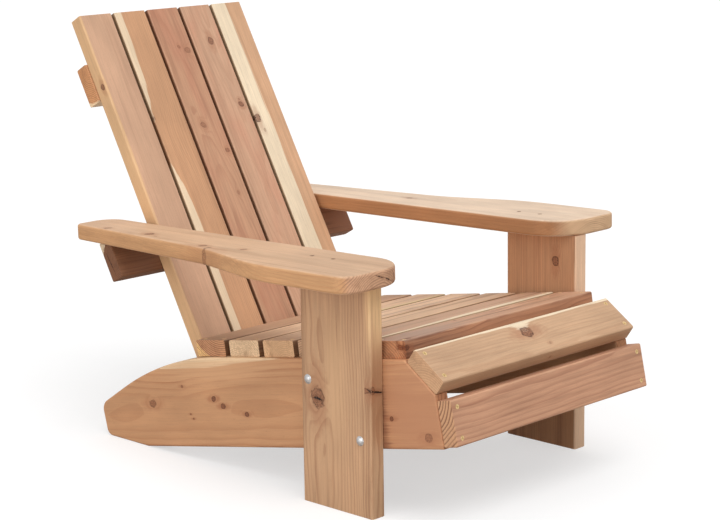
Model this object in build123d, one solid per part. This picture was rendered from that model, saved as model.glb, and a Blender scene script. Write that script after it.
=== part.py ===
from build123d import *
import os
from math import atan2, cos, degrees, radians, sin, tan

# Adirondack chair of dressed softwood boards, screwed and bolted together.
# Millimetres. +Z is up, the chair faces -Y, and the sitter's right is -X. The pieces are laid out
# with y = 0 at the front of the legs and z = 0 on the ground, and centred over the origin at the end.

# ---- Timber --------------------------------------------------------------------------------------
THICKNESS = 35.0             # every board is dressed to this thickness
NARROW = 90.0                # width of the slats, braces and rail
WIDE = 190.0                 # width of the legs, and of the arms at their front
EASE = 4.0                   # rounding along a board's long edges
END_EASE = 1.0               # rounding around a board's sawn ends

# ---- Stringers: the two sloping side boards that carry the seat ----------------------------------
SEAT_WIDTH = 592.0           # across the outer faces of the stringers
NOSE_REACH = 156.0           # how far the stringers reach ahead of the legs
NOSE_HEIGHT = 164.5          # height of the nose's lower corner
NOSE_LEAN = 12.0             # degrees that the nose leans back from upright
NOSE_FACE = 104.5            # length of the nose, where the lower front slat sits
KNEE_ANGLE = 34.8            # slope of the cut behind the nose, where the upper front slat sits
KNEE_LENGTH = 97.0
SEAT_SLOPE = 8.9             # degrees that the seat falls towards the back
TAIL_HEIGHT = 68.0           # height of the tail's upper corner
TAIL_SLOPE = 33.0            # slope of the tail's upper edge
TAIL_BEARING = 18.0          # straight edge under the rear seat slat before the bend to the tail
TAIL_BEND = 171.0            # from there to where the straight edges of seat and tail would meet
TAIL_UNDERCUT = 18.0         # how far the tail's end leans in down to the ground
TAIL_ROUND = 24.0
HEEL_ROUND = 18.0
FOOT_LENGTH = 137.0          # flat on the ground, before its heel is rounded
CORNER_EASE = 3.0            # rounding of the stringer's sawn corners

# ---- Seat and front slats ------------------------------------------------------------------------
SEAT_SLATS = 6
SEAT_GAP = 14.0
SEAT_SETBACK = 9.0           # from the stringer's outer face to a seat slat's end
FRONT_SETBACK = 2.0          # the same for the two front slats
LOWER_SLAT_LIFT = 3.5        # from the nose's lower corner up to the lower front slat

# ---- Back ----------------------------------------------------------------------------------------
BACK_SLATS = 5
BACK_GAP = 7.0
BACK_RECLINE = 28.9          # degrees from upright
BACK_CLEARANCE = 44.0        # from the rear seat slat to the back's front face, along the seat
BACK_HEIGHT = 759.0          # length of the slats above the seat
BACK_TAIL = 150.0            # length of the slats below the seat
UPPER_BRACE_UP = 568.0       # from the seat up the back to the upper brace's lower edge
UPPER_BRACE_OVERHANG = 3.0   # how far the upper brace stands out past the slats
LOWER_BRACE_LENGTH = 704.0   # it reaches out under both arms

# ---- Legs and arms -------------------------------------------------------------------------------
LEG_HEIGHT = 466.0           # at the front of the leg
ARM_SLOPE = 1.2              # degrees that the arms fall towards the back
ARM_OVERHANG = {"right": 44.0, "left": 5.0}  # past the front of the legs; the left arm sits back
ARM_LENGTH = 912.0
ARM_BACK_CLEARANCE = 9.0     # between the arm's straight inner edge and the back
ARM_SHOULDER = 259.0         # from the arm's front to where it starts to narrow
ARM_WAIST = 456.0            # and to where it stops
ARM_WAIST_WIDTH = 134.0
ARM_REAR_WIDTH = 99.0
ARM_FRONT_INNER_ROUND = 95.0
ARM_FRONT_OUTER_ROUND = 38.0
ARM_CURVE = 400.0            # radius of the two bends between shoulder and waist
ARM_REAR_INNER_ROUND = 50.0
ARM_REAR_OUTER_ROUND = 12.0
ARM_EASE = 6.0

# ---- Fasteners -----------------------------------------------------------------------------------
BOLT_DIAMETER = 8.0
BOLT_HEAD = 20.0
BOLT_DOME = 4.5
BOLT_NECK = 4.0              # length of the square neck under the head
BOLT_SPARE = 5.0             # thread that shows beyond the nut
WASHER_DIAMETER = 22.0
WASHER_THICKNESS = 2.0
NUT_ACROSS_FLATS = 13.0
NUT_HEIGHT = 6.5
UPPER_BOLT = (18.0, 34.0)    # in from the leg's rear edge, and below the stringer's upper edge
LOWER_BOLT = (31.0, 24.0)    # in from the leg's front edge, and above the stringer's lower edge
SCREW_DIAMETER = 5.0
SCREW_HEAD = 9.5
SCREW_GRIP = 22.0            # how far an ordinary screw bites into the second board
LEG_SCREW_GRIP = 45.0        # bite into the end grain on top of a leg
LEG_SCREWS = (112.0, 170.0)  # from the front of the leg
SCREW_INSET = 15.0           # from a slat's edge to its screws
SEAT_SCREW_INSET = 14.0      # from a seat slat's end to its screws
CROSS_WIDTH = 0.9            # driver recess
CROSS_DEPTH = 1.6
POCKET_ANGLE = 15.0          # degrees that a pocket screw leans from the board that holds its head
POCKET_DIAMETER = 10.0
POCKET_WEB = 14.0            # wood left under a pocket screw's head, along the screw
POCKET_GRIP = 24.0
CLEARANCE = 0.15             # around every fastener in its hole

HALF_SEAT = SEAT_WIDTH / 2
INNER_FACE = HALF_SEAT - THICKNESS
STRINGER_MIDDLE = HALF_SEAT - THICKNESS / 2
LEG_MIDDLE = HALF_SEAT + THICKNESS / 2
BACK_WIDTH = BACK_SLATS * NARROW + (BACK_SLATS - 1) * BACK_GAP
ARM_INNER = BACK_WIDTH / 2 + ARM_BACK_CLEARANCE
SIDES = {"right": -1, "left": 1}

# ---- Reference points and planes, in the YZ plane of symmetry ------------------------------------


def along(start, angle, distance):
    """The point that lies a distance from start, at an angle above the rearward horizontal."""
    return (start[0] + distance * cos(radians(angle)), start[1] + distance * sin(radians(angle)))


def plane_at(point, angle):
    """A plane across the chair: local x runs to the sitter's left, and local y at the angle."""
    facing = (0, -sin(radians(angle)), cos(radians(angle)))
    return Plane(origin=(0, point[0], point[1]), x_dir=(1, 0, 0), z_dir=facing)


nose_foot = (-NOSE_REACH, NOSE_HEIGHT)
nose_top = along(nose_foot, 90 - NOSE_LEAN, NOSE_FACE)
knee_top = along(nose_top, KNEE_ANGLE, KNEE_LENGTH)
seat_run = SEAT_SLATS * NARROW + (SEAT_SLATS - 1) * SEAT_GAP
bend_corner = along(knee_top, -SEAT_SLOPE, seat_run - NARROW + TAIL_BEARING + TAIL_BEND)
tail_fall = bend_corner[1] - TAIL_HEIGHT
tail_corner = (bend_corner[0] + tail_fall / tan(radians(TAIL_SLOPE)), TAIL_HEIGHT)
heel = (tail_corner[0] - TAIL_UNDERCUT, 0)
foot_front = (heel[0] - FOOT_LENGTH, 0)
foot_angle = degrees(atan2(NOSE_HEIGHT, foot_front[0] + NOSE_REACH))

nose_plane = plane_at(nose_foot, 90 - NOSE_LEAN)
knee_plane = plane_at(nose_top, KNEE_ANGLE)
seat_plane = plane_at(knee_top, -SEAT_SLOPE)
back_foot = seat_plane.from_local_coords(Vector(0, seat_run + BACK_CLEARANCE, THICKNESS))
back_plane = plane_at((back_foot.Y, back_foot.Z), 90 - BACK_RECLINE)
arm_plane = plane_at((0, LEG_HEIGHT), -ARM_SLOPE)


def stringer_top(y):
    """Height of the stringer's straight upper edge."""
    return knee_top[1] - (y - knee_top[0]) * tan(radians(SEAT_SLOPE))


def stringer_bottom(y):
    """Height of the stringer's straight lower edge."""
    return NOSE_HEIGHT - (y + NOSE_REACH) * tan(radians(foot_angle))


def reach_of_arm(depth):
    """Distance up the back, at a depth behind its front face, where it meets the arms' underside."""
    point = back_plane.from_local_coords(Vector(0, 0, -depth))
    rise = LEG_HEIGHT - point.Y * tan(radians(ARM_SLOPE)) - point.Z
    return rise / (cos(radians(BACK_RECLINE)) + tan(radians(ARM_SLOPE)) * sin(radians(BACK_RECLINE)))


lower_brace_top = reach_of_arm(2 * THICKNESS)

# ---- Boards --------------------------------------------------------------------------------------


def board(length, width):
    """A dressed board along X, lying on local z = 0 with its lower long edge on local y = 0."""
    blank = Pos(0, width / 2, THICKNESS / 2) * Box(length, width, THICKNESS)
    blank = fillet(blank.edges().filter_by(Axis.X), EASE)
    ends = blank.faces().filter_by(Axis.X)
    return fillet(ends.edges(), END_EASE)


def upright_board(length, width):
    """A dressed board along local y from y = 0, centred on x, lying on local z = 0."""
    return Pos(width / 2, length / 2, 0) * Rot(0, 0, 90) * board(length, width)


def make_stringer(side):
    bend_radius = TAIL_BEND / tan(radians(TAIL_SLOPE - SEAT_SLOPE) / 2)
    outline = [nose_foot, nose_top, knee_top, bend_corner, tail_corner, heel, foot_front]
    rounds = [CORNER_EASE, CORNER_EASE, CORNER_EASE, bend_radius, TAIL_ROUND, HEEL_ROUND, CORNER_EASE]
    shape = make_face(FilletPolyline(*outline, radius=rounds, close=True).edges())
    slab = extrude(Plane.YZ * shape, THICKNESS)
    slab = fillet(slab.faces().filter_by(Axis.X).edges(), EASE)
    return Pos(INNER_FACE if side > 0 else -HALF_SEAT, 0, 0) * slab


def above_arms():
    """The space above the arms' underside, for cutting what the arms rest on."""
    return arm_plane * Pos(0, ARM_LENGTH / 2, WIDE) * Box(4 * WIDE + SEAT_WIDTH, 3 * ARM_LENGTH, 2 * WIDE)


def make_leg(side):
    upright = Plane(origin=(side * HALF_SEAT, WIDE / 2, 0), x_dir=(0, 1, 0), z_dir=(side, 0, 0))
    if side < 0:
        upright = Plane(origin=(-HALF_SEAT, WIDE / 2, 0), x_dir=(0, -1, 0), z_dir=(-1, 0, 0))
    return upright * upright_board(LEG_HEIGHT + NARROW, WIDE) - above_arms()


def make_arm(side, overhang):
    """Drawn flat with its inner edge on x = 0 and its front on y = 0, for the sitter's left."""
    outline = [
        (0, 0, ARM_FRONT_INNER_ROUND),
        (WIDE, 0, ARM_FRONT_OUTER_ROUND),
        (WIDE, ARM_SHOULDER, ARM_CURVE),
        (ARM_WAIST_WIDTH, ARM_WAIST, ARM_CURVE),
        (ARM_REAR_WIDTH, ARM_LENGTH, ARM_REAR_OUTER_ROUND),
        (0, ARM_LENGTH, ARM_REAR_INNER_ROUND),
    ]
    corners = [(side * (ARM_INNER + x), y - overhang) for x, y, _ in outline]
    rounds = [corner[2] for corner in outline]
    shape = make_face(FilletPolyline(*corners, radius=rounds, close=True).edges())
    slab = extrude(shape, THICKNESS, dir=(0, 0, 1))
    slab = fillet(slab.faces().filter_by(Axis.Z).edges(), ARM_EASE)
    return arm_plane * slab


def make_back_slat(number):
    x = (number - (BACK_SLATS - 1) / 2) * (NARROW + BACK_GAP)
    return back_plane * Pos(x, -BACK_TAIL, -THICKNESS) * upright_board(BACK_TAIL + BACK_HEIGHT, NARROW)


def make_brace(length, lower_edge):
    """A board across the back of the slats."""
    return back_plane * Pos(0, lower_edge, -2 * THICKNESS) * board(length, NARROW)


# ---- Fasteners: each lies along local z with the underside of its head towards -z ----------------


def dome(radius, height):
    ball = (radius ** 2 + height ** 2) / (2 * height)
    cap = Pos(0, 0, height - ball) * Sphere(ball)
    return cap & (Pos(0, 0, height / 2) * Cylinder(radius, height))


def carriage_bolt(length, grow=0.0):
    radius = BOLT_DIAMETER / 2 + grow
    shank = Pos(0, 0, -length / 2) * Cylinder(radius, length)
    neck = Pos(0, 0, -(BOLT_NECK + grow) / 2) * Box(2 * radius, 2 * radius, BOLT_NECK + grow)
    return shank + neck


def screw_blank(length, grow=0.0):
    """A countersunk screw with its head flush on z = 0, or the hole that it goes in."""
    head = SCREW_HEAD / 2 + grow
    shank = SCREW_DIAMETER / 2 + grow
    depth = head - shank
    cone = Pos(0, 0, -depth / 2) * Cone(shank, head, depth)
    return cone + Pos(0, 0, -(length + grow) / 2) * Cylinder(shank, length + grow)


def screw(length):
    bar = Pos(0, 0, -CROSS_DEPTH / 2) * Box(SCREW_DIAMETER, CROSS_WIDTH, CROSS_DEPTH)
    return screw_blank(length) - bar - Rot(0, 0, 90) * bar


def pan_screw_blank(length, grow=0.0):
    """A flat-headed pocket screw with its head's underside on z = 0, or the hole for its shank."""
    return Pos(0, 0, -(length + grow) / 2) * Cylinder(SCREW_DIAMETER / 2 + grow, length + grow)


def pocket_screw(length):
    head = Pos(0, 0, CROSS_DEPTH) * Cylinder(SCREW_HEAD / 2 - 2 * CLEARANCE, 2 * CROSS_DEPTH)
    bar = Pos(0, 0, 1.5 * CROSS_DEPTH) * Box(SCREW_DIAMETER, CROSS_WIDTH, CROSS_DEPTH)
    return pan_screw_blank(length) + head - bar - Rot(0, 0, 90) * bar


def pocket_hole(length):
    """The stepped hole of a pocket screw: a wide mouth above z = 0 and the shank's hole below."""
    reach = (THICKNESS / 2 + POCKET_DIAMETER) / sin(radians(POCKET_ANGLE))
    mouth = Pos(0, 0, reach / 2) * Cylinder(POCKET_DIAMETER / 2, reach)
    return mouth + pan_screw_blank(length, CLEARANCE)


def facing_against(travel, exit_point):
    """Where a pocket screw sits, from where and how it leaves the brace, in the back's own axes."""
    start = back_plane.from_local_coords(Vector(exit_point) - Vector(travel) * POCKET_WEB)
    target = back_plane.from_local_coords(Vector(exit_point))
    return Plane(origin=start, z_dir=start - target)


# ---- Assembly ------------------------------------------------------------------------------------
pieces = {}
cuts = {}
fasteners = {}


def fix(group, fastener, hole, place, *names):
    """Adds a fastener at a place and drills its hole in the named boards."""
    fasteners.setdefault(group, []).append(place * fastener)
    for name in names:
        cuts.setdefault(name, []).append(place * hole)


for word, side in SIDES.items():
    pieces[f"stringer_{word}"] = make_stringer(side)
    pieces[f"front_leg_{word}"] = make_leg(side)
    pieces[f"armrest_{word}"] = make_arm(side, ARM_OVERHANG[word])

seat_length = SEAT_WIDTH - 2 * SEAT_SETBACK
for number in range(SEAT_SLATS):
    start = number * (NARROW + SEAT_GAP)
    pieces[f"seat_slat_{number + 1}"] = seat_plane * Pos(0, start, 0) * board(seat_length, NARROW)

front_length = SEAT_WIDTH - 2 * FRONT_SETBACK
pieces["front_slat_lower"] = nose_plane * Pos(0, LOWER_SLAT_LIFT, 0) * board(front_length, NARROW)
pieces["front_slat_upper"] = knee_plane * board(front_length, NARROW)

for number in range(BACK_SLATS):
    pieces[f"back_slat_{number + 1}"] = make_back_slat(number)

lower_brace_start = lower_brace_top - NARROW
pieces["back_brace_upper"] = make_brace(BACK_WIDTH + 2 * UPPER_BRACE_OVERHANG, UPPER_BRACE_UP)
pieces["back_brace_lower"] = make_brace(LOWER_BRACE_LENGTH, lower_brace_start) - above_arms()
pieces["back_bottom_rail"] = make_brace(2 * INNER_FACE, -BACK_TAIL)

# Carriage bolts, washers and nuts hold each leg to its stringer.
bolt_length = 2 * THICKNESS + WASHER_THICKNESS + NUT_HEIGHT + BOLT_SPARE
bolt = carriage_bolt(bolt_length) + dome(BOLT_HEAD / 2, BOLT_DOME)
bolt_hole = carriage_bolt(bolt_length, CLEARANCE)
shank_hole = Pos(0, 0, -bolt_length / 2) * Cylinder(BOLT_DIAMETER / 2 + CLEARANCE, 2 * bolt_length)
washer = Pos(0, 0, -2 * THICKNESS - WASHER_THICKNESS / 2) * Cylinder(WASHER_DIAMETER / 2, WASHER_THICKNESS)
nut_start = 2 * THICKNESS + WASHER_THICKNESS + NUT_HEIGHT
nut_shape = RegularPolygon(NUT_ACROSS_FLATS / 2, 6, major_radius=False)
nut = Pos(0, 0, -nut_start) * extrude(nut_shape, NUT_HEIGHT)
upper_bolt_y = WIDE - UPPER_BOLT[0]
bolt_points = [
    (upper_bolt_y, stringer_top(upper_bolt_y) - UPPER_BOLT[1]),
    (LOWER_BOLT[0], stringer_bottom(LOWER_BOLT[0]) + LOWER_BOLT[1]),
]
for word, side in SIDES.items():
    for y, z in bolt_points:
        place = Plane(origin=(side * (HALF_SEAT + THICKNESS), y, z), x_dir=(0, 1, 0), z_dir=(side, 0, 0))
        fix("leg_bolts", bolt, bolt_hole, place, f"front_leg_{word}", f"stringer_{word}")
        fasteners.setdefault("leg_bolt_washers", []).append(place * (washer - shank_hole))
        fasteners.setdefault("leg_bolt_nuts", []).append(place * (nut - shank_hole))

# Countersunk screws hold the seat and front slats down on the stringers.
slat_screw_length = THICKNESS + SCREW_GRIP
slat_screw = screw(slat_screw_length)
slat_hole = screw_blank(slat_screw_length, CLEARANCE)
for word, side in SIDES.items():
    stringer = f"stringer_{word}"
    for across in (SCREW_INSET, NARROW - SCREW_INSET):
        front_spot = Pos(side * STRINGER_MIDDLE, across, THICKNESS)
        low_spot = Pos(0, LOWER_SLAT_LIFT, 0) * front_spot
        low_place = nose_plane * low_spot
        fix("front_slat_screws", slat_screw, slat_hole, low_place, "front_slat_lower", stringer)
        high_place = knee_plane * front_spot
        fix("front_slat_screws", slat_screw, slat_hole, high_place, "front_slat_upper", stringer)
        for number in range(SEAT_SLATS):
            x = side * (seat_length / 2 - SEAT_SCREW_INSET)
            place = seat_plane * Pos(x, number * (NARROW + SEAT_GAP) + across, THICKNESS)
            fix("seat_slat_screws", slat_screw, slat_hole, place, f"seat_slat_{number + 1}", stringer)

# Screws through the braces and the rail, from behind, hold the back slats.
crosspieces = {
    "upper_brace_screws": ("back_brace_upper", UPPER_BRACE_UP),
    "lower_brace_screws": ("back_brace_lower", lower_brace_start),
    "bottom_rail_screws": ("back_bottom_rail", -BACK_TAIL),
}
for group, (crosspiece, lower_edge) in crosspieces.items():
    for number in range(BACK_SLATS):
        x = (number - (BACK_SLATS - 1) / 2) * (NARROW + BACK_GAP)
        for sign in (-1, 1):
            up = lower_edge + NARROW / 2 + sign * NARROW / 4
            spot = Pos(x + sign * NARROW / 4, up, -2 * THICKNESS) * Rot(180, 0, 0)
            fix(group, slat_screw, slat_hole, back_plane * spot, crosspiece, f"back_slat_{number + 1}")

# Pocket screws from behind hold the bottom rail to the stringers and the arms to the lower brace.
pocket_length = POCKET_WEB + POCKET_GRIP
lean_along = cos(radians(POCKET_ANGLE))
lean_across = sin(radians(POCKET_ANGLE))
middle = -1.5 * THICKNESS
for word, side in SIDES.items():
    for share in (0.25, 0.75):
        place = facing_against(
            (side * lean_along, 0, lean_across), (side * INNER_FACE, share * NARROW - BACK_TAIL, middle))
        fix("rail_end_screws", pocket_screw(pocket_length), pocket_hole(pocket_length),
            place, "back_bottom_rail", f"stringer_{word}")
        place = facing_against(
            (0, lean_along, lean_across),
            (side * (ARM_INNER + share * ARM_REAR_WIDTH), reach_of_arm(-middle), middle))
        fix("arm_brace_screws", pocket_screw(pocket_length), pocket_hole(pocket_length),
            place, "back_brace_lower", f"armrest_{word}")

# Screws down through the arms hold them to the legs.
leg_screw_length = THICKNESS + LEG_SCREW_GRIP
for word, side in SIDES.items():
    for y in LEG_SCREWS:
        place = arm_plane * Pos(side * LEG_MIDDLE, y, THICKNESS)
        fix("arm_leg_screws", screw(leg_screw_length), screw_blank(leg_screw_length, CLEARANCE),
            place, f"armrest_{word}", f"front_leg_{word}")

# ---- Centre the chair over the origin and write it -----------------------------------------------
for name, tools in cuts.items():
    for tool in tools:
        pieces[name] = pieces[name] - tool
for group, solids in fasteners.items():
    pieces[group] = Compound(children=solids)

boxes = [piece.bounding_box() for piece in pieces.values()]
whole = boxes[0]
for box in boxes[1:]:
    whole = whole.add(box)
centring = Pos(-whole.center().X, -whole.center().Y, -whole.min.Z)
os.makedirs("parts", exist_ok=True)
for name, piece in pieces.items():
    export_step(centring * piece, f"parts/{name}.step")
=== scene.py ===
import bpy
from math import cos, radians, sin
from mathutils import Matrix, Vector


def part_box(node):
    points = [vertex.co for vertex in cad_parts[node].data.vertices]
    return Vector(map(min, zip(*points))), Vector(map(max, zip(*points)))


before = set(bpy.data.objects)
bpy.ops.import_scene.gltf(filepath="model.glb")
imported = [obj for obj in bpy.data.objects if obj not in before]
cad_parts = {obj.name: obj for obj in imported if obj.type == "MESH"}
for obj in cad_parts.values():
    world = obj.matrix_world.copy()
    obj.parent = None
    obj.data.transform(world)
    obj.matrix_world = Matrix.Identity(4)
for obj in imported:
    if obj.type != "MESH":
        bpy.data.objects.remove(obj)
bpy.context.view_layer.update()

# Adirondack chair of dressed softwood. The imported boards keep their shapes, and each gets its own
# piece of timber: growth rings about a heart line, sapwood, knots, checks and sawn end grain, all
# laid out in the board's own axes. Metres, +Z up, the chair faces -Y, the sitter's right is -X.

MM = 0.001
HALF_THICK = 17.5             # mm, half of every board's thickness
HALF_NARROW = 45              # mm, half the width of the slats, braces and rail
HALF_WIDE = 95                # mm, half the width of the front legs
SEAT_SLOPE = 8.9              # degrees that the seat falls towards the back
NOSE_LEAN = 12.0              # degrees that the lower front slat leans back from upright
KNEE_ANGLE = 34.8             # degrees that the upper front slat rises towards the back
BACK_RECLINE = 28.9           # degrees that the back leans from upright
ARM_SLOPE = 1.2               # degrees that the arms fall towards the back
FOOT_ANGLE = 10.9             # degrees, the slope of a stringer's lower edge

# ---- Camera --------------------------------------------------------------------------------------

AIM_BEHIND_LEGS = 0.150       # the point aimed at, behind the front of the legs
AIM_HEIGHT = 0.350
VIEW_AZIMUTH, VIEW_ELEVATION, VIEW_ROLL = -45.66, 11.54, -0.88   # degrees; 0, 0 looks at the front
CAMERA_LEFT, CAMERA_UP, CAMERA_BACK = 0.14214, 0.09047, 4.26659  # from the point aimed at
SENSOR_WIDTH, FOCAL_LENGTH = 36, 103.448                         # mm

leg_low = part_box("front_leg_right")[0]
aim = Vector((0.0, leg_low.y + AIM_BEHIND_LEGS, AIM_HEIGHT))
azimuth, elevation, roll = radians(VIEW_AZIMUTH), radians(VIEW_ELEVATION), radians(VIEW_ROLL)
back = Vector((sin(azimuth) * cos(elevation), -cos(azimuth) * cos(elevation), sin(elevation)))
level = Vector((cos(azimuth), sin(azimuth), 0))
upward = back.cross(level)
right = level * cos(roll) + upward * sin(roll)
top = upward * cos(roll) - level * sin(roll)
turn = Matrix((right, top, back)).transposed().to_4x4()
turn.translation = aim - right * CAMERA_LEFT + top * CAMERA_UP + back * CAMERA_BACK
lens = bpy.data.cameras.new("camera")
lens.sensor_width = SENSOR_WIDTH
lens.lens = FOCAL_LENGTH
camera = bpy.data.objects.new("camera", lens)
camera.matrix_world = turn
bpy.context.scene.collection.objects.link(camera)
bpy.context.scene.camera = camera

# ---- Small helpers for shader nodes --------------------------------------------------------------

MIX_FACTOR, MIX_FIRST, MIX_SECOND, MIX_RESULT = 0, 6, 7, 2   # a Mix node's sockets for colours


def tone(red, green, blue):
    """A colour given as it looks on a screen, 0 to 255, in the linear values a shader wants."""
    linear = [(v / 255 / 12.92) if v <= 10 else ((v / 255 + 0.055) / 1.055) ** 2.4
              for v in (red, green, blue)]
    return (*linear, 1.0)


def darker(colour, share):
    """A share of a colour."""
    return tone(*[v * share for v in colour])


class Bench:
    """A node tree being wired up."""

    def __init__(self, tree):
        self.tree = tree

    def put(self, kind, **settings):
        node = self.tree.nodes.new(kind)
        for key, value in settings.items():
            setattr(node, key, value)
        return node

    def join(self, value, socket):
        """Wires a socket to a socket, or writes a plain value into it."""
        if isinstance(value, bpy.types.NodeSocket):
            self.tree.links.new(value, socket)
        else:
            socket.default_value = value

    def maths(self, operation, *values, clamp=False):
        node = self.put("ShaderNodeMath", operation=operation, use_clamp=clamp)
        for value, socket in zip(values, node.inputs):
            self.join(value, socket)
        return node.outputs[0]

    def vector(self, operation, *values):
        node = self.put("ShaderNodeVectorMath", operation=operation)
        for value, socket in zip(values, node.inputs):
            self.join(value, socket)
        scalar = operation in ("LENGTH", "DOT_PRODUCT", "DISTANCE")
        return node.outputs["Value" if scalar else "Vector"]

    def scaled(self, vector, factor):
        node = self.put("ShaderNodeVectorMath", operation="SCALE")
        self.join(vector, node.inputs[0])
        self.join(factor, node.inputs["Scale"])
        return node.outputs["Vector"]

    def split(self, vector):
        node = self.put("ShaderNodeSeparateXYZ")
        self.join(vector, node.inputs[0])
        return node.outputs

    def stack(self, x=0.0, y=0.0, z=0.0):
        node = self.put("ShaderNodeCombineXYZ")
        for value, socket in zip((x, y, z), node.inputs):
            self.join(value, socket)
        return node.outputs[0]

    def even(self, value):
        """The same value on all three axes."""
        return self.stack(value, value, value)

    def noise(self, vector, scale=1.0, detail=2.0, roughness=0.5):
        """Noise about 0.5."""
        node = self.put("ShaderNodeTexNoise")
        self.join(vector, node.inputs["Vector"])
        self.join(scale, node.inputs["Scale"])
        node.inputs["Detail"].default_value = detail
        node.inputs["Roughness"].default_value = roughness
        return node.outputs["Fac"]

    def field(self, place, stretch, seed=None, detail=2.0, roughness=0.5):
        """Noise that is finer along some axes than others: stretch is how fine, per metre."""
        vector = self.vector("MULTIPLY", place, stretch)
        if seed is not None:
            vector = self.vector("ADD", vector, seed)
        return self.noise(vector, detail=detail, roughness=roughness)

    def ramp(self, value, low, high, start=0.0, end=1.0, smooth=True):
        """Maps low..high to start..end, held at both ends."""
        node = self.put("ShaderNodeMapRange", clamp=True)
        node.interpolation_type = "SMOOTHSTEP" if smooth else "LINEAR"
        for number, part in enumerate((value, low, high, start, end)):
            self.join(part, node.inputs[number])
        return node.outputs[0]

    def blend(self, factor, first, second, kind="MIX"):
        node = self.put("ShaderNodeMix", data_type="RGBA", blend_type=kind, clamp_factor=True)
        self.join(factor, node.inputs[MIX_FACTOR])
        self.join(first, node.inputs[MIX_FIRST])
        self.join(second, node.inputs[MIX_SECOND])
        return node.outputs[MIX_RESULT]

    def times(self, colour, factor):
        """A colour multiplied by another."""
        return self.blend(1.0, colour, factor, "MULTIPLY")

    def tint(self, colour, mask, strength, mark):
        """A colour turned towards a mark's own, where the mark's mask is."""
        return self.blend(self.maths("MULTIPLY", mask, strength), colour, tone(*mark))

    def most(self, masks):
        """The strongest of several masks at each point."""
        whole = 0.0
        for mask in masks:
            whole = self.maths("MAXIMUM", whole, mask)
        return whole

    def relief(self, shader, height, strength, distance):
        """Raises and lowers the surface by a height, as the light sees it."""
        bump = self.put("ShaderNodeBump")
        bump.inputs["Strength"].default_value = strength
        bump.inputs["Distance"].default_value = distance
        self.join(height, bump.inputs["Height"])
        self.join(bump.outputs["Normal"], shader.inputs["Normal"])

    def use(self, group, **inputs):
        """Places a shared effect with its own values; spaces in socket names are underscores here."""
        node = self.put("ShaderNodeGroup", node_tree=group)
        for name, value in inputs.items():
            self.join(value, node.inputs[name.replace("_", " ")])
        return node.outputs


def effect(name, inputs, outputs):
    """A new shader node group: the group, its bench, its input sockets and its output sockets."""
    group = bpy.data.node_groups.new(name, "ShaderNodeTree")
    kinds = {"value": "NodeSocketFloat", "vector": "NodeSocketVector"}
    for label, kind in inputs.items():
        group.interface.new_socket(name=label, in_out="INPUT", socket_type=kinds[kind])
    for label, kind in outputs.items():
        group.interface.new_socket(name=label, in_out="OUTPUT", socket_type=kinds[kind])
    bench = Bench(group)
    return group, bench, bench.put("NodeGroupInput").outputs, bench.put("NodeGroupOutput").inputs


def new_finish(name):
    """A new material, its bench and its shader."""
    material = bpy.data.materials.new(name)
    material.use_nodes = True
    bench = Bench(material.node_tree)
    return material, bench, bench.tree.nodes["Principled BSDF"]


def give(material, node):
    """Gives a board or a set of fasteners its finish."""
    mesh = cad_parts[node].data
    mesh.materials.clear()
    mesh.materials.append(material)


# ---- Shared effects of the timber ----------------------------------------------------------------
# Place is the board's own axes: x along the grain, y across the width, z through the thickness.


def make_growth_rings():
    """Rings round a heart line that runs roughly along the board."""
    group, b, given, out = effect(
        "growth rings",
        {"Place": "vector", "Heart": "vector", "Drift": "vector", "Ring Width": "value",
         "Wander": "value", "Push": "value", "Seed": "value"},
        {"Late Wood": "value", "Radius": "value"})
    along = b.split(given["Place"])[0]
    centre = b.vector("ADD", given["Heart"], b.scaled(given["Drift"], along))
    from_centre = b.vector("SUBTRACT", given["Place"], centre)
    offset = b.vector("MULTIPLY", from_centre, (0.0, 1.0, 1.0))
    seed = b.even(given["Seed"])

    # Along the board the rings wander by several millimetres, and they quiver by less than that.
    slow = b.maths("SUBTRACT", b.field(given["Place"], (3.2, 11.0, 11.0), seed), 0.5)
    quick = b.maths("SUBTRACT", b.field(given["Place"], (8.0, 60.0, 60.0), seed), 0.5)
    wobble = b.maths("ADD", b.maths("MULTIPLY", slow, 0.026), b.maths("MULTIPLY", quick, 0.0022))
    wobble = b.maths("MULTIPLY", wobble, given["Wander"])
    radius = b.maths("ADD", b.vector("LENGTH", offset), wobble)
    radius = b.maths("ADD", radius, given["Push"])

    # Each year darkens slowly into late wood and ends at once; some years are fainter.
    years = b.maths("DIVIDE", radius, given["Ring Width"])
    year = b.maths("FLOOR", years)
    share = b.maths("FRACT", years)
    rise = b.maths("POWER", b.ramp(share, 0.30, 0.93), 1.7)
    fall = b.ramp(share, 0.95, 1.0, 1.0, 0.0)
    weight = b.noise(b.stack(year, given["Seed"]), 1.37, 1.0)
    weight = b.ramp(weight, 0.30, 0.70, 0.45, 1.0)
    b.join(b.maths("MULTIPLY", b.maths("MULTIPLY", rise, fall), weight), out["Late Wood"])
    b.join(radius, out["Radius"])
    return group


def make_fibres():
    """Fine fibres, streaks, bands and clouds of colour along the grain, and dark flecks."""
    group, b, given, out = effect(
        "fibres", {"Place": "vector", "Seed": "value"},
        {"Fine": "value", "Streak": "value", "Band": "value", "Cloud": "value", "Fleck": "value"})
    seed = b.even(given["Seed"])

    def strands(stretch, detail, roughness=0.55):
        return b.field(given["Place"], stretch, seed, detail, roughness)

    b.join(strands((22.0, 900.0, 900.0), 3.0, 0.6), out["Fine"])
    b.join(strands((4.5, 230.0, 230.0), 3.0, 0.62), out["Streak"])
    b.join(strands((1.6, 38.0, 38.0), 4.0, 0.6), out["Band"])
    b.join(strands((5.5, 14.0, 14.0), 2.0), out["Cloud"])
    dots = strands((90.0, 1300.0, 1300.0), 1.0)
    b.join(b.ramp(dots, 0.66, 0.74), out["Fleck"])
    return group


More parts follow.
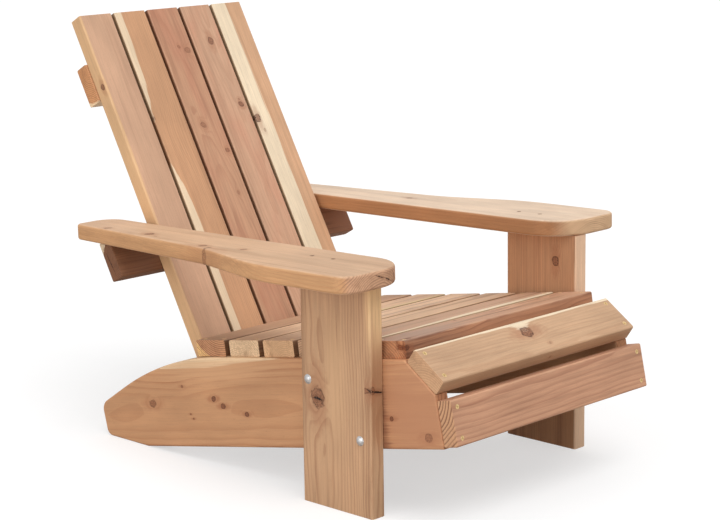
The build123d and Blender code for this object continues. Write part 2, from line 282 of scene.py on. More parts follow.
def make_knot():
    """A branch through the board: its core, its dark rim, its halo, its cracks and its push."""
    group, b, given, out = effect(
        "knot",
        {"Place": "vector", "Middle": "vector", "Branch": "vector", "Squash": "vector",
         "Size": "value", "Depth": "value", "Push": "value"},
        {"Core": "value", "Rim": "value", "Halo": "value", "Crack": "value", "Push": "value"})
    offset = b.vector("SUBTRACT", given["Place"], given["Middle"])
    depth = b.vector("DOT_PRODUCT", offset, given["Branch"])
    flat = b.vector("SUBTRACT", offset, b.scaled(given["Branch"], depth))
    reach = b.maths("MULTIPLY", given["Depth"], 1.35)
    within = b.ramp(b.maths("ABSOLUTE", depth), given["Depth"], reach, 1.0, 0.0)
    spot = b.vector("ADD", given["Place"], given["Middle"])
    ragged = b.ramp(b.noise(spot, 95.0), 0.2, 0.8, 0.72, 1.28, smooth=False)

    def knots_away(stretch):
        """How many of the knot's own sizes a point is from its middle, with a ragged outline."""
        away = b.vector("LENGTH", b.vector("MULTIPLY", flat, stretch))
        return b.maths("DIVIDE", b.maths("MULTIPLY", away, ragged), given["Size"])

    # The core has rings of its own, and a dark rim of bark that is broken here and there.
    distance = knots_away(given["Squash"])
    core = b.maths("MULTIPLY", b.ramp(distance, 0.80, 1.0, 1.0, 0.0), within)
    rim = b.maths("MULTIPLY", b.ramp(distance, 0.76, 0.94), b.ramp(distance, 1.0, 1.16, 1.0, 0.0))
    rings = b.maths("SINE", b.maths("MULTIPLY", distance, 21.0))
    rings = b.maths("MULTIPLY", b.ramp(rings, 0.0, 1.0), core)
    rim = b.maths("MULTIPLY", rim, b.ramp(b.noise(spot, 190.0), 0.34, 0.54, 0.30, 1.0))
    rim = b.maths("MAXIMUM", rim, b.maths("MULTIPLY", rings, 0.30))

    # The halo is drawn out along the grain.
    halo = b.ramp(knots_away((0.36, 1.0, 1.0)), 0.7, 2.1, 1.0, 0.0)

    # The core dries into a star of fine cracks.
    star = b.maths("SUBTRACT", b.noise(b.scaled(offset, 130.0)), 0.5)
    star = b.ramp(b.maths("ABSOLUTE", star), 0.005, 0.022, 1.0, 0.0)

    # The grain swerves round the knot, by less and less further out.
    spread = b.vector("LENGTH", b.vector("MULTIPLY", flat, (0.42, 0.80, 0.80)))
    spread = b.maths("DIVIDE", spread, given["Size"])
    swerve = b.maths("MULTIPLY", b.maths("MULTIPLY", spread, spread), -0.7)
    swerve = b.maths("MULTIPLY", b.maths("POWER", 2.718, swerve), given["Push"])
    b.join(core, out["Core"])
    b.join(b.maths("MULTIPLY", rim, within), out["Rim"])
    b.join(b.maths("MULTIPLY", halo, within), out["Halo"])
    b.join(b.maths("MULTIPLY", star, core), out["Crack"])
    b.join(b.maths("MULTIPLY", swerve, within), out["Push"])
    return group


def make_check():
    """A drying check: a thin wandering split from one point to another."""
    group, b, given, out = effect(
        "drying check",
        {"Place": "vector", "Start": "vector", "Finish": "vector", "Width": "value"},
        {"Split": "value", "Shade": "value"})
    run = b.vector("SUBTRACT", given["Finish"], given["Start"])
    offset = b.vector("SUBTRACT", given["Place"], given["Start"])
    share = b.maths("DIVIDE", b.vector("DOT_PRODUCT", offset, run),
                    b.vector("DOT_PRODUCT", run, run), clamp=True)
    nearest = b.scaled(run, share)
    ragged = b.maths("SUBTRACT", b.noise(given["Place"], 210.0), 0.5)
    wander = b.maths("MULTIPLY", ragged, b.maths("MULTIPLY", given["Width"], 2.5))
    distance = b.maths("ADD", b.vector("DISTANCE", offset, nearest), wander)

    # It is widest halfway, and a quarter as wide at its ends.
    taper = b.maths("MULTIPLY", share, b.maths("SUBTRACT", 1.0, share))
    taper = b.maths("MAXIMUM", b.maths("MULTIPLY", taper, 4.0), 0.25)
    width = b.maths("MULTIPLY", given["Width"], taper)
    inside = b.maths("DIVIDE", b.maths("ABSOLUTE", distance), width)
    b.join(b.ramp(inside, 0.45, 1.0, 1.0, 0.0), out["Split"])
    b.join(b.ramp(inside, 0.8, 4.5, 1.0, 0.0), out["Shade"])
    return group


def make_sawn_end():
    """Where a face cuts across the grain, with the saw's faint marks and the open pores there."""
    group, b, given, out = effect(
        "sawn end", {"Place": "vector", "Facing": "vector", "Grain": "vector", "Seed": "value"},
        {"End": "value", "Saw": "value", "Pores": "value"})
    across = b.maths("ABSOLUTE", b.vector("DOT_PRODUCT", given["Facing"], given["Grain"]))
    b.join(b.ramp(across, 0.35, 0.85), out["End"])
    b.join(b.field(given["Place"], (1.0, 60.0, 1400.0)), out["Saw"])
    seed = b.even(given["Seed"])
    b.join(b.noise(b.vector("ADD", given["Place"], seed), 1600.0), out["Pores"])
    return group


def make_arris_highlight():
    """How near a point is to a long arris of its board, where a painted highlight makes it paler."""
    group, b, given, out = effect(
        "arris highlight", {"Place": "vector", "Half Width": "value", "Half Depth": "value"},
        {"Highlight": "value"})
    sides = b.split(b.vector("ABSOLUTE", given["Place"]))
    across = b.maths("SUBTRACT", given["Half Width"], sides[1])
    through = b.maths("SUBTRACT", given["Half Depth"], sides[2])
    uneven = b.field(given["Place"], (35.0, 160.0, 160.0), detail=3.0)
    reach = b.ramp(uneven, 0.3, 0.7, 0.0015, 0.0065)
    b.join(b.ramp(b.maths("ADD", across, through), 0.0, reach, 1.0, 0.0), out["Highlight"])
    return group


growth_rings = make_growth_rings()
fibres = make_fibres()
knot = make_knot()
drying_check = make_check()
sawn_end = make_sawn_end()
arris_highlight = make_arris_highlight()

# ---- One piece of timber per board ---------------------------------------------------------------

CREAM = (238, 218, 188)                       # the palest sapwood
GAP_EDGE_SHADE = (0.42, 0.34, 0.27)                 # painted shade on the edges that face the narrow gaps
OILED_END = (0.91, 0.85, 0.80)                # sawn ends drink more oil, so they are darker
FLECK = (0.22, (120, 72, 42))                 # how strongly each mark shows, and its colour
HALO = (0.40, (160, 98, 66))
CORE = (0.62, (132, 78, 52))
RIM = (0.85, (78, 42, 28))
CHECK_SHADE = (0.45, (120, 74, 48))
# The next is a painted highlight along the arrises.
ARRIS_HIGHLIGHT = (0.16, (236, 204, 164))
OPEN_SPLIT = (38, 22, 16)
END_PORES = (110, 68, 44)

BRANCHES = {
    "face": ((0.0, 0.12, 0.993), 200, (0.82, 1.0, 1.0)),
    "edge": ((0.0, 0.993, 0.12), 13, (0.82, 1.0, 1.0)),
    "band": ((0.0, 1.0, 0.0), 16, (2.5, 1.0, 1.0)),
    "slant": ((0.25, 0.68, 0.69), 200, (0.82, 1.0, 1.0)),
}                             # which way a branch runs, how deep in mm, and how it is squashed


def axes(grain, width):
    """A board's own axes as the columns of a matrix, from two of them."""
    grain, width = Vector(grain), Vector(width)
    return Matrix((grain, width, grain.cross(width))).transposed()


def across_chair(angle):
    """A board that runs from side to side and slopes up to the rear at an angle."""
    return axes((1, 0, 0), (0, cos(radians(angle)), sin(radians(angle))))


def down_slope(angle, side=0):
    """A board that runs back and down at an angle: flat with no side, else on edge at that side."""
    grain = (0, cos(radians(angle)), -sin(radians(angle)))
    if not side:
        return axes(grain, (-1, 0, 0))
    return axes(grain, (0, side * sin(radians(angle)), side * cos(radians(angle))))


def up_the_back():
    """A board that leans with the back, its face to the front."""
    return axes((0, sin(radians(BACK_RECLINE)), cos(radians(BACK_RECLINE))), (-1, 0, 0))


def upright(side):
    """A board that stands on end and faces a side: -1 is the sitter's right."""
    return axes((0, 0, 1), (0, -side, 0))


def board_place(b, node, turned):
    """A point in the board's own axes, from the middle of the board's box."""
    low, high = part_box(node)
    mapping = b.put("ShaderNodeMapping", vector_type="TEXTURE")
    b.join(b.put("ShaderNodeTexCoord").outputs["Object"], mapping.inputs["Vector"])
    mapping.inputs["Location"].default_value = (low + high) / 2
    mapping.inputs["Rotation"].default_value = turned.to_euler()
    return mapping.outputs["Vector"]


def grow_knots(b, place, knots):
    """Knots in a board: how far they push the grain, and a list of masks for each of their parts."""
    push = 0.0
    masks = {"Core": [], "Rim": [], "Halo": [], "Crack": []}
    for along, wide, through, radius, branch, swerve, dark in knots:
        direction, depth, squash = BRANCHES[branch]
        parts = b.use(knot, Place=place, Middle=(along * MM, wide * MM, through * MM),
                      Branch=direction, Squash=squash, Size=radius * MM, Depth=depth * MM,
                      Push=swerve * MM)
        push = b.maths("ADD", push, parts["Push"])
        for part, found in masks.items():
            found.append(b.maths("MULTIPLY", parts[part], dark))
    return push, masks


def open_checks(b, place, checks):
    """Drying checks in a board: a list of masks for the splits, and one for the shade round them."""
    splits, shades = [], []
    for start, finish, width in checks:
        parts = b.use(drying_check, Place=place, Start=[v * MM for v in start],
                      Finish=[v * MM for v in finish], Width=width * MM)
        splits.append(parts["Split"])
        shades.append(parts["Shade"])
    return splits, shades


def grown_wood(b, rings, strands, pale, late, cloud, sap, sap_from, contrast, bands):
    """Early and late wood, clouded and banded, and the sapwood outside it."""
    late_here = b.ramp(strands["Streak"], 0.3, 0.7, 0.60, 1.0)
    late_here = b.maths("MULTIPLY", rings["Late Wood"], late_here)
    late_here = b.maths("MULTIPLY", late_here, contrast)
    wood = b.blend(late_here, tone(*pale), tone(*late))
    if cloud:
        clouded = b.blend(late_here, tone(*cloud), tone(*late))
        wood = b.blend(b.ramp(strands["Cloud"], 0.42, 0.66), wood, clouded)
    wood = b.blend(b.ramp(strands["Band"], 0.50, 0.68, 0.0, bands), wood, darker(late, 0.80))
    if sap:
        sap_wood = b.blend(b.maths("MULTIPLY", late_here, 0.42), tone(*sap), darker(sap, 0.82))
        uneven = b.ramp(strands["Streak"], 0.2, 0.8, -0.002, 0.002)
        reach = b.maths("ADD", rings["Radius"], uneven)
        beyond = b.ramp(reach, sap_from * MM - 0.0012, sap_from * MM + 0.0012)
        wood = b.blend(beyond, wood, sap_wood)
    return wood


def brushed_wood(b, strands, wood, coarse):
    """Fibres, streaks and clouds, each a little lighter or darker than the wood, and flecks."""
    shade = b.ramp(strands["Streak"], 0.25, 0.75, 1 - 0.09 * coarse, 1 + 0.07 * coarse, smooth=False)
    fine = b.ramp(strands["Fine"], 0.25, 0.75, 1 - 0.12 * coarse, 1 + 0.10 * coarse, smooth=False)
    shade = b.maths("MULTIPLY", shade, fine)
    cloudy = b.ramp(strands["Cloud"], 0.25, 0.75, 0.87, 1.10, smooth=False)
    shade = b.maths("MULTIPLY", shade, cloudy)
    return b.tint(b.times(wood, b.even(shade)), strands["Fleck"], *FLECK)


def stained_and_shaded_wood(b, place, strands, wood, stains_and_shade):
    """Patches of another colour, stains or painted shade, with edges that run out along the fibres.
    """
    for colour, (along, wide), (reach_along, reach_wide), strength in stains_and_shade:
        spot = b.vector("SUBTRACT", place, (along * MM, wide * MM, 0.0))
        spot = b.vector("MULTIPLY", spot, (1 / (reach_along * MM), 1 / (reach_wide * MM), 0.0))
        uneven = b.ramp(strands["Streak"], 0.2, 0.8, -0.5, 0.5, smooth=False)
        spot = b.maths("ADD", b.vector("LENGTH", spot), uneven)
        wood = b.blend(b.ramp(spot, 0.2, 1.1, strength, 0.0), wood, tone(*colour))
    return wood


def timber(name, node, turned, pale, late, *, heart, ring, contrast, seed, drift=(0, 0),
           wander=1.0, sap=None, sap_from=None, cloud=None, bands=0.25, coarse=1.0, stains_and_shade=(),
           end=OILED_END, end_rings=0.65, edge=None, edge_side=0, half_width=HALF_NARROW,
           knots=(), checks=()):
    """Makes one board's material and gives it to the board. Lengths are in mm.

    turned holds the board's own axes. pale and late are its early and late wood, sap the sapwood
    beyond a radius of sap_from, and cloud a second early wood that comes and goes.
    heart is where the rings' centre lies across and below the board's middle, and drift how much
    it moves per metre along. ring is a year's width, and wander how much the rings stray.
    contrast is how strongly the late wood shows, bands how strongly broad dark bands do, and
    coarse how strongly the fibres do.
    A stain, real or painted shade, is (colour, (along, across), (reach along, reach across),
    strength).
    end multiplies the colour of the sawn ends, where end_rings is how strongly late wood shows.
    edge paints shade on the two narrow sides, or only on the one on edge_side, by multiplying their
    colour.
    half_width is None for a board whose outline is curved: it gets no painted arris highlight.
    A knot is (along, across, through, radius, branch, push of the grain, darkness), and one with
    no darkness only bends the grain.
    A check is (start, finish, width)."""
    material, b, shader = new_finish(name)
    place = board_place(b, node, turned)
    facing = b.put("ShaderNodeTexCoord").outputs["Normal"]

    # Knots come first, because they push the grain aside.
    push, knotted = grow_knots(b, place, knots)
    check_splits, check_shades = open_checks(b, place, checks)
    split = b.most(knotted["Crack"] + check_splits)
    rim = b.most(knotted["Rim"])
    rings = b.use(growth_rings, Place=place, Heart=(0.0, heart[0] * MM, heart[1] * MM),
                  Drift=(0.0, drift[0] * MM, drift[1] * MM), Ring_Width=ring * MM,
                  Wander=wander, Push=push, Seed=seed)
    strands = b.use(fibres, Place=place, Seed=seed)
    sawn = b.use(sawn_end, Place=place, Facing=facing, Grain=turned.col[0], Seed=seed)

    wood = grown_wood(b, rings, strands, pale, late, cloud, sap, sap_from, contrast, bands)
    wood = brushed_wood(b, strands, wood, coarse)
    wood = stained_and_shaded_wood(b, place, strands, wood, stains_and_shade)
    if knots:
        wood = b.tint(wood, b.most(knotted["Halo"]), *HALO)
        wood = b.tint(wood, b.most(knotted["Core"]), *CORE)
        wood = b.tint(wood, rim, *RIM)
    if checks:
        wood = b.tint(wood, b.most(check_shades), *CHECK_SHADE)
    # Painted shade on the board's narrow sides.
    if edge:
        turned_away = b.vector("DOT_PRODUCT", facing, turned.col[1] * (edge_side or 1))
        if not edge_side:
            turned_away = b.maths("ABSOLUTE", turned_away)
        wood = b.blend(b.ramp(turned_away, 0.5, 0.9), wood, b.times(wood, (*edge, 1.0)))
    # A painted highlight along the long arrises.
    if half_width:
        highlit_arris = b.use(arris_highlight, Place=place, Half_Width=half_width * MM,
                       Half_Depth=HALF_THICK * MM)
        wood = b.tint(wood, highlit_arris["Highlight"], *ARRIS_HIGHLIGHT)

    # The late wood stands out in the sawn ends.
    cut = b.blend(b.maths("MULTIPLY", rings["Late Wood"], end_rings), wood, darker(late, 0.66))
    cut = b.blend(b.ramp(sawn["Pores"], 0.35, 0.75, 0.0, 0.22), cut, tone(*END_PORES))
    wood = b.blend(sawn["End"], wood, b.times(cut, (*end, 1.0)))
    if knots or checks:
        wood = b.blend(split, wood, tone(*OPEN_SPLIT))
    b.join(wood, shader.inputs["Base Color"])

    rough = b.ramp(rings["Late Wood"], 0.0, 1.0, 0.62, 0.50)
    rough = b.maths("ADD", rough, b.ramp(strands["Fine"], 0.3, 0.7, -0.05, 0.06))
    rough = b.maths("ADD", rough, b.maths("MULTIPLY", sawn["End"], 0.16))
    b.join(rough, shader.inputs["Roughness"])
    shader.inputs["Specular IOR Level"].default_value = 0.42

    # Late wood stands proud, fibres and saw marks roughen the rest, and splits cut in.
    height = b.maths("MULTIPLY", rings["Late Wood"], 0.35)
    height = b.maths("ADD", height, b.maths("MULTIPLY", strands["Fine"], 0.55))
    height = b.maths("ADD", height, b.maths("MULTIPLY", strands["Streak"], 0.35))
    marks = b.maths("MULTIPLY", b.maths("ADD", sawn["Saw"], sawn["Pores"]), sawn["End"])
    height = b.maths("ADD", height, b.maths("MULTIPLY", marks, 0.9))
    if knots:
        height = b.maths("ADD", height, b.maths("MULTIPLY", rim, -0.8))
    if knots or checks:
        height = b.maths("ADD", height, b.maths("MULTIPLY", split, -4.0))
    b.relief(shader, height, strength=0.55, distance=0.35 * MM)
    give(material, node)


seat_lie = across_chair(-SEAT_SLOPE)
nose_lie = across_chair(90 - NOSE_LEAN)
knee_lie = across_chair(KNEE_ANGLE)
brace_lie = across_chair(90 - BACK_RECLINE)
back_lie = up_the_back()

# Back slats, from the sitter's right.
timber("rosy_slat", "back_slat_1", back_lie, (208, 167, 137), (180, 128, 98),
       sap=(218, 176, 132), sap_from=102, heart=(-60, 2), ring=2.6, wander=0.5,
       contrast=0.45, coarse=0.8, seed=1.7, edge=GAP_EDGE_SHADE, edge_side=-1,
       knots=[(286, 47, 8, 5.5, "edge", 12, 1.0)])
timber("orange_slat", "back_slat_2", back_lie, (204, 156, 118), (172, 116, 80),
       sap=(230, 205, 173), sap_from=94.6, heart=(-60, -28), ring=2.8, wander=0.45,
       contrast=0.5, seed=4.1, edge=GAP_EDGE_SHADE,
       knots=[(196, 44, 10, 4.0, "face", 6, 0.6), (145, 44, 17, 38, "face", -27, 0.0)])
timber("pink_slat", "back_slat_3", back_lie, (200, 153, 121), (168, 112, 84),
       cloud=(186, 134, 106), heart=(14, -44), drift=(10, -30), ring=4.2,
       contrast=0.5, seed=9.3, bands=0.35, edge=GAP_EDGE_SHADE,
       knots=[(347, -27, 17, 6.0, "slant", 12, 0.5), (357, -6, 17, 3.0, "slant", 6, 0.5),
              (164, 9, 17, 6.0, "slant", 13, 0.6), (97, -32, 17, 4.0, "slant", 8, 0.7),
              (-6, -17, 17, 4.0, "face", 7, 0.45)])
timber("tan_slat", "back_slat_4", back_lie, (207, 164, 134), (178, 124, 94),
       cloud=(200, 150, 122), heart=(-16, -64), drift=(-12, 22), ring=3.8,
       contrast=0.45, seed=12.9, edge=GAP_EDGE_SHADE,
       knots=[(364, -8, 17, 7.5, "face", 10, 0.85), (201, -27, 17, 5.0, "slant", 8, 0.95),
              (214, -25, 17, 2.4, "face", 3, 0.6)])
timber("half_cream_slat", "back_slat_5", back_lie, (210, 166, 130), (184, 130, 94),
       sap=CREAM, sap_from=84, heart=(-78, -20), drift=(10, 6), ring=3.0, wander=0.4,
       contrast=0.4, seed=15.5, edge=GAP_EDGE_SHADE, edge_side=1,
       knots=[(162, 38, 17, 8.0, "face", 9, 1.0), (131, 30, 17, 3.4, "face", 4, 0.5)])

# Seat slats, from the front, and the two front slats.
timber("streaked_seat_slat", "seat_slat_1", seat_lie, (212, 166, 134), (138, 86, 64),
       heart=(26, -36), drift=(-16, 16), ring=5.0, wander=1.2, contrast=0.7, seed=21.2, bands=0.75,
       stains_and_shade=[((178, 148, 130), (-200, 5), (160, 60), 0.8)],
       # edge paints shade on its front side.
       end=(1.06, 0.80, 0.58), end_rings=0.3, edge=(0.76, 0.62, 0.53), edge_side=-1,
       knots=[(-262, -28, 17, 6.0, "face", 10, 0.9), (-60, 30, 17, 3.0, "slant", 6, 0.5),
              (-284, -40, 4, 5.0, "edge", 6, 1.0)],
       checks=[((-292, -42, 17.5), (-288, -46, -16), 3.0), ((-296, -20, -13), (-296, 30, -14), 1.2),
               ((-296, -44, 14), (-296, 40, 17), 1.4)])
timber("cream_edged_seat_slat", "seat_slat_2", seat_lie, (208, 168, 138), (170, 118, 88),
       sap=CREAM, sap_from=107.5, heart=(40, -60), drift=(10, -6), ring=4.0, wander=0.6,
       contrast=0.6, seed=24.8, bands=0.6, edge=GAP_EDGE_SHADE,
       stains_and_shade=[((182, 152, 130), (-220, 20), (140, 30), 0.7)])
timber("tan_seat_slat_3", "seat_slat_3", seat_lie, (226, 190, 156), (178, 128, 94),
       heart=(20, -50), drift=(14, 14), ring=4.2, contrast=0.7, seed=27.1, bands=0.6,
       edge=GAP_EDGE_SHADE)
timber("tan_seat_slat_4", "seat_slat_4", seat_lie, (244, 208, 174), (186, 136, 102),
       sap=(228, 200, 158), sap_from=92, heart=(-26, -44), drift=(-10, 12), ring=3.8,
       contrast=0.6, seed=31.4, bands=0.55, edge=GAP_EDGE_SHADE, end=(1.08, 1.00, 0.84), end_rings=0.2,
       # Its stain is painted shade at the near end.
       stains_and_shade=[((176, 142, 116), (-260, 0), (90, 70), 0.5)])
timber("tan_seat_slat_5", "seat_slat_5", seat_lie, (232, 194, 160), (180, 128, 94),
       sap=(228, 200, 158), sap_from=92, heart=(18, -52), drift=(8, -12), ring=4.4,
       contrast=0.6, seed=35.6, bands=0.65, edge=GAP_EDGE_SHADE, end=(1.30, 1.41, 1.35), end_rings=0.15,
       # Its stain is painted shade at the near end.
       stains_and_shade=[((166, 132, 106), (-240, 0), (120, 70), 0.6)])
timber("tan_seat_slat_6", "seat_slat_6", seat_lie, (198, 158, 126), (154, 100, 74),
       sap=(232, 204, 150), sap_from=103, heart=(-35, 79), drift=(2, 4), ring=4.4, wander=0.3,
       contrast=0.7, seed=38.3, bands=0.5, edge=GAP_EDGE_SHADE, edge_side=-1,
       end=(1.26, 1.07, 0.90), end_rings=0.9,
       # Its stain is painted shade at the near end.
       stains_and_shade=[((170, 134, 108), (-200, 0), (150, 70), 0.6)],
       knots=[(40, 8, 17, 5.0, "face", 8, 0.6)])
timber("ringed_front_slat", "front_slat_upper", knee_lie, (202, 164, 130), (170, 124, 90),
       sap=CREAM, sap_from=111, heart=(-40, -60), drift=(-4, 6), ring=4.6, wander=0.5,
       contrast=0.5, seed=42.7, bands=0.35, end=(1.17, 1.12, 1.06), end_rings=0.15,
       knots=[(7, 14, 17, 12.0, "face", 15, 1.0), (40, -26, 17, 2.4, "slant", 5, 0.5)])
timber("long_grained_front_slat", "front_slat_lower", nose_lie, (200, 151, 120), (150, 94, 68),
       heart=(60, -60), drift=(4, -10), ring=7.5, wander=0.8, contrast=0.7, seed=46.9, bands=0.4,
       end=(1.20, 1.26, 1.16), end_rings=1.0)

# Braces and the rail behind the back.
timber("brace_with_cream_edge", "back_brace_upper", brace_lie, (206, 156, 116), (168, 112, 78),
       sap=CREAM, sap_from=66, heart=(24, 20), drift=(4, 6), ring=4.0, wander=0.6,
       contrast=0.6, seed=51.3, end=(1.18, 1.07, 0.93))
# The lower brace's dark wood is mostly painted shade.
timber("shade_darkened_brace", "back_brace_lower", brace_lie, (139, 97, 70), (112, 70, 48),
       sap=CREAM, sap_from=68, heart=(-14, 40), drift=(8, 4), ring=4.0, wander=0.6,
       contrast=0.7, seed=55.1,
       stains_and_shade=[((176, 122, 92), (340, 0), (110, 90), 0.8)],
       checks=[((-352, -30, 4), (-352, 26, -2), 1.0)])
timber("hidden_rail", "back_bottom_rail", brace_lie, (200, 152, 116), (164, 108, 76),
       heart=(12, -38), drift=(-6, 16), ring=4.6, contrast=0.7, seed=58.6)

# Stringers.
timber("knotty_stringer", "stringer_right", down_slope(FOOT_ANGLE, -1), (203, 152, 111),
       (172, 114, 76), sap=(238, 204, 164), sap_from=142, heart=(12, -84), drift=(8, -6), ring=8.5,
       wander=0.9, contrast=0.75, seed=63.9, bands=0.10, coarse=0.55, half_width=None,
       stains_and_shade=[((188, 132, 98), (-440, 20), (170, 140), 0.75),
               ((216, 168, 126), (120, -70), (260, 32), 0.6),
               # The next stain is a painted shadow beside the front leg.
               ((128, 82, 60), (-347, 0), (24, 200), 0.75)],
       knots=[(342, -4, 17, 8.5, "face", 15, 0.8), (235, -40, 17, 3.2, "face", 5, 0.8),
              (138, -12, 17, 5.4, "face", 11, 1.25), (111, 4, 17, 5.2, "face", 10, 1.25),
              (41, 21, 17, 4.8, "face", 9, 1.2), (220, 20, 17, 1.8, "face", 3, 1.0),
              (213, 30, 17, 1.9, "face", 3, 1.1), (-376, 33, 17, 4.2, "face", 7, 1.25),
              (-467, 70, 17, 8.0, "face", 12, 0.6)])
timber("plain_stringer", "stringer_left", down_slope(FOOT_ANGLE, 1), (198, 149, 110),
       (168, 112, 78), heart=(-20, -80), drift=(-8, 12), ring=5.0, contrast=0.45, seed=68.2,
       half_width=None,
       knots=[(210, 10, 0, 6.0, "face", 11, 0.8), (-180, -30, 0, 5.0, "face", 9, 0.8)])

# Front legs.
timber("cracked_leg", "front_leg_right", upright(-1), (200, 159, 123), (158, 110, 78),
       heart=(40, -40), drift=(30, 0), ring=6.4, wander=1.2, contrast=0.75, seed=73.5, bands=0.40,
       coarse=0.8, half_width=HALF_WIDE,
       stains_and_shade=[((246, 206, 154), (235, -99), (165, 21), 0.85),
               ((166, 124, 92), (10, -99), (120, 28), 0.85),
               # The next stain is painted shade under the arm, at the top of the side.
               ((178, 136, 106), (250, 10), (90, 110), 0.6),
               ((220, 178, 136), (40, 0), (170, 40), 0.5)],
       knots=[(-14, 50, 17, 17.0, "face", 22, 0.85), (24, -93, 12, 6.0, "edge", 14, 0.7)],
       checks=[((-16, 38, 17.5), (-14, 63, 17.5), 3.2), ((28, -82, 17.5), (17, -112, 17.5), 3.4),
               ((24, -95, 19), (14, -95, -22), 2.6)])
timber("far_leg", "front_leg_left", upright(1), (200, 150, 112), (162, 106, 74),
       sap=(234, 196, 164), sap_from=122.5, heart=(-30, 0), drift=(0, 4), ring=4.4, wander=0.25,
       contrast=0.6, seed=77.8, bands=0.4, half_width=HALF_WIDE,
       knots=[(173, 40, -17, 8.5, "face", 13, 1.0)])

# Arms. Their edge colours are painted shade on the narrow sides, and the far arm's pale wood is
# partly a painted sheen.
timber("near_arm", "armrest_right", down_slope(ARM_SLOPE), (216, 178, 144), (188, 138, 102),
       heart=(6, -66), drift=(12, 6), ring=4.6, wander=0.8, contrast=0.45, seed=82.4,
       edge=(0.88, 0.74, 0.56), end=(1.00, 0.90, 0.88), half_width=None,
       knots=[(-5, 43, 0, 19.0, "band", 12, 0.55), (352, -2, 17, 6.0, "slant", 10, 0.5),
              (218, -5, 17, 7.0, "slant", 12, 0.8), (188, 6, 17, 3.0, "face", 4, 0.5),
              (20, 22, 17, 5.5, "slant", 9, 0.7), (-79, 2, 17, 4.5, "slant", 8, 0.6)],
       checks=[((-456, 15, 10), (-455, -13, 0), 1.0), ((-455, -11, 1), (-451, -30, -7), 1.2),
               ((-451, -28, -6), (-441, -52, -14), 1.2), ((-448, -38, 14), (-441, -52, -12), 0.9)])
timber("far_arm", "armrest_left", down_slope(ARM_SLOPE), (229, 203, 177), (206, 166, 136),
       heart=(-12, -72), drift=(-10, 8), ring=4.4, wander=0.8, contrast=0.45, seed=86.6, bands=0.2,
       edge=(0.60, 0.37, 0.22), end=(0.94, 0.82, 0.67), half_width=None,
       knots=[(46, 25, 17, 5.5, "face", 9, 0.75)])

# ---- Fasteners -----------------------------------------------------------------------------------

GRIME = (70, 58, 46)


def plated(name, nodes, bright, dull, roughness, grime, metal):
    """Plated steel with dull patches and fine scratches, and grime in them by a share."""
    material, b, shader = new_finish(name)
    place = b.put("ShaderNodeTexCoord").outputs["Object"]
    mottle = b.noise(place, 260.0, 3.0)
    scratches = b.field(place, (900.0, 900.0, 240.0), detail=3.0, roughness=0.7)
    colour = b.blend(b.ramp(mottle, 0.40, 0.66), tone(*bright), tone(*dull))
    colour = b.blend(b.ramp(scratches, 0.60, 0.76, 0.0, grime), colour, tone(*GRIME))
    b.join(colour, shader.inputs["Base Color"])
    shader.inputs["Metallic"].default_value = metal
    rough = b.ramp(scratches, 0.25, 0.75, roughness - 0.08, roughness + 0.14)
    b.join(rough, shader.inputs["Roughness"])
    b.relief(shader, scratches, strength=0.4, distance=0.1 * MM)
    for node in nodes:
        give(material, node)


plated("zinc_plate", ["leg_bolts", "leg_bolt_washers", "leg_bolt_nuts"],
       bright=(222, 222, 222), dull=(190, 191, 194), roughness=0.34, grime=0.30, metal=0.80)
plated("yellow_plate", ["front_slat_screws", "seat_slat_screws", "upper_brace_screws",
                        "lower_brace_screws", "bottom_rail_screws", "rail_end_screws",
                        "arm_brace_screws"],
       bright=(244, 214, 156), dull=(212, 178, 120), roughness=0.36, grime=0.26, metal=0.45)
plated("tarnished_plate", ["arm_leg_screws"],
       bright=(152, 112, 78), dull=(118, 80, 54), roughness=0.50, grime=0.40, metal=0.25)

# ---- Floor and light -----------------------------------------------------------------------------

FLOOR_HALF = 60.0
FLOOR_BOUNCE = (0.44, 0.40, 0.36, 1)          # the floor as the chair is lit by it
FLOOR_SEEN = (0.44, 0.44, 0.44, 1)            # the floor as it is seen, with a glow
FLOOR_GLOW = 0.56
WHITE = (1, 1, 1, 1)
SKY_STRENGTH = 0.66

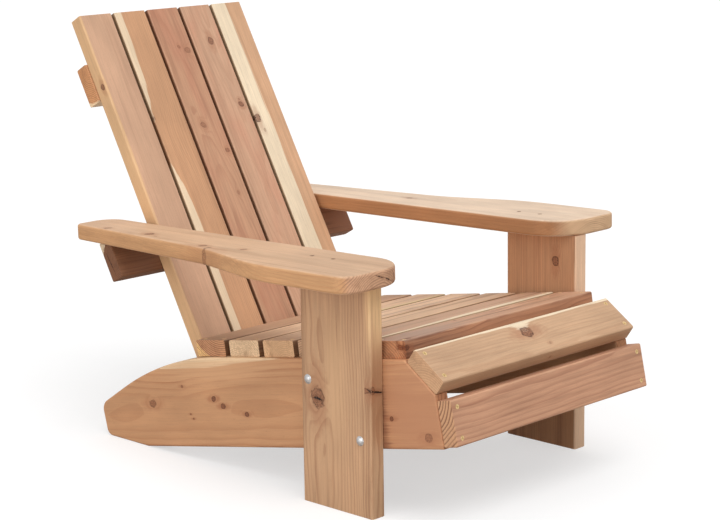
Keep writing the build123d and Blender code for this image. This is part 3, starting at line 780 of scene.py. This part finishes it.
floor_mesh = bpy.data.meshes.new("studio_floor")
floor_mesh.from_pydata(
    [(-FLOOR_HALF, -FLOOR_HALF, 0), (FLOOR_HALF, -FLOOR_HALF, 0),
     (FLOOR_HALF, FLOOR_HALF, 0), (-FLOOR_HALF, FLOOR_HALF, 0)], [], [(0, 1, 2, 3)])
floor = bpy.data.objects.new("studio_floor", floor_mesh)
bpy.context.scene.collection.objects.link(floor)
paint, bench, shader = new_finish("studio_paint")
# To the camera the floor also glows: painted light that pales the shadows on it.
seen = bench.put("ShaderNodeLightPath").outputs["Is Camera Ray"]
bench.join(bench.blend(seen, FLOOR_BOUNCE, FLOOR_SEEN), shader.inputs["Base Color"])
shader.inputs["Emission Color"].default_value = WHITE
bench.join(bench.maths("MULTIPLY", seen, FLOOR_GLOW), shader.inputs["Emission Strength"])
shader.inputs["Roughness"].default_value = 0.9
floor_mesh.materials.append(paint)

sky = bpy.data.worlds.new("studio")
bpy.context.scene.world = sky
sky.use_nodes = True
sky.node_tree.nodes["Background"].inputs["Color"].default_value = WHITE
sky.node_tree.nodes["Background"].inputs["Strength"].default_value = SKY_STRENGTH


def sun(name, turned, height, strength, width):
    """A soft light from a direction in degrees: turned as the camera's azimuth, and its height."""
    lamp = bpy.data.lights.new(name, "SUN")
    lamp.energy = strength
    lamp.angle = radians(width)
    light = bpy.data.objects.new(name, lamp)
    a, e = radians(turned), radians(height)
    toward = Vector((sin(a) * cos(e), -cos(a) * cos(e), sin(e)))
    light.rotation_euler = toward.to_track_quat("Z", "Y").to_euler()
    bpy.context.scene.collection.objects.link(light)


def softbox(name, place, toward, width, height, power):
    """A soft panel of light at a place, turned to a point."""
    lamp = bpy.data.lights.new(name, "AREA")
    lamp.shape = "RECTANGLE"
    lamp.size, lamp.size_y = width, height
    lamp.energy = power
    light = bpy.data.objects.new(name, lamp)
    light.location = place
    light.rotation_euler = (Vector(place) - Vector(toward)).to_track_quat("Z", "Y").to_euler()
    light.visible_camera = False
    bpy.context.scene.collection.objects.link(light)


sun("key_light", turned=-20, height=58, strength=1.45, width=38)
sun("fill_light", turned=-75, height=28, strength=0.35, width=60)
softbox("side_panel", place=(-2.0, -0.25, 0.55), toward=(0.0, -0.05, 0.35),
        width=1.8, height=1.0, power=7.5)

bpy.context.scene.view_settings.view_transform = "Standard"
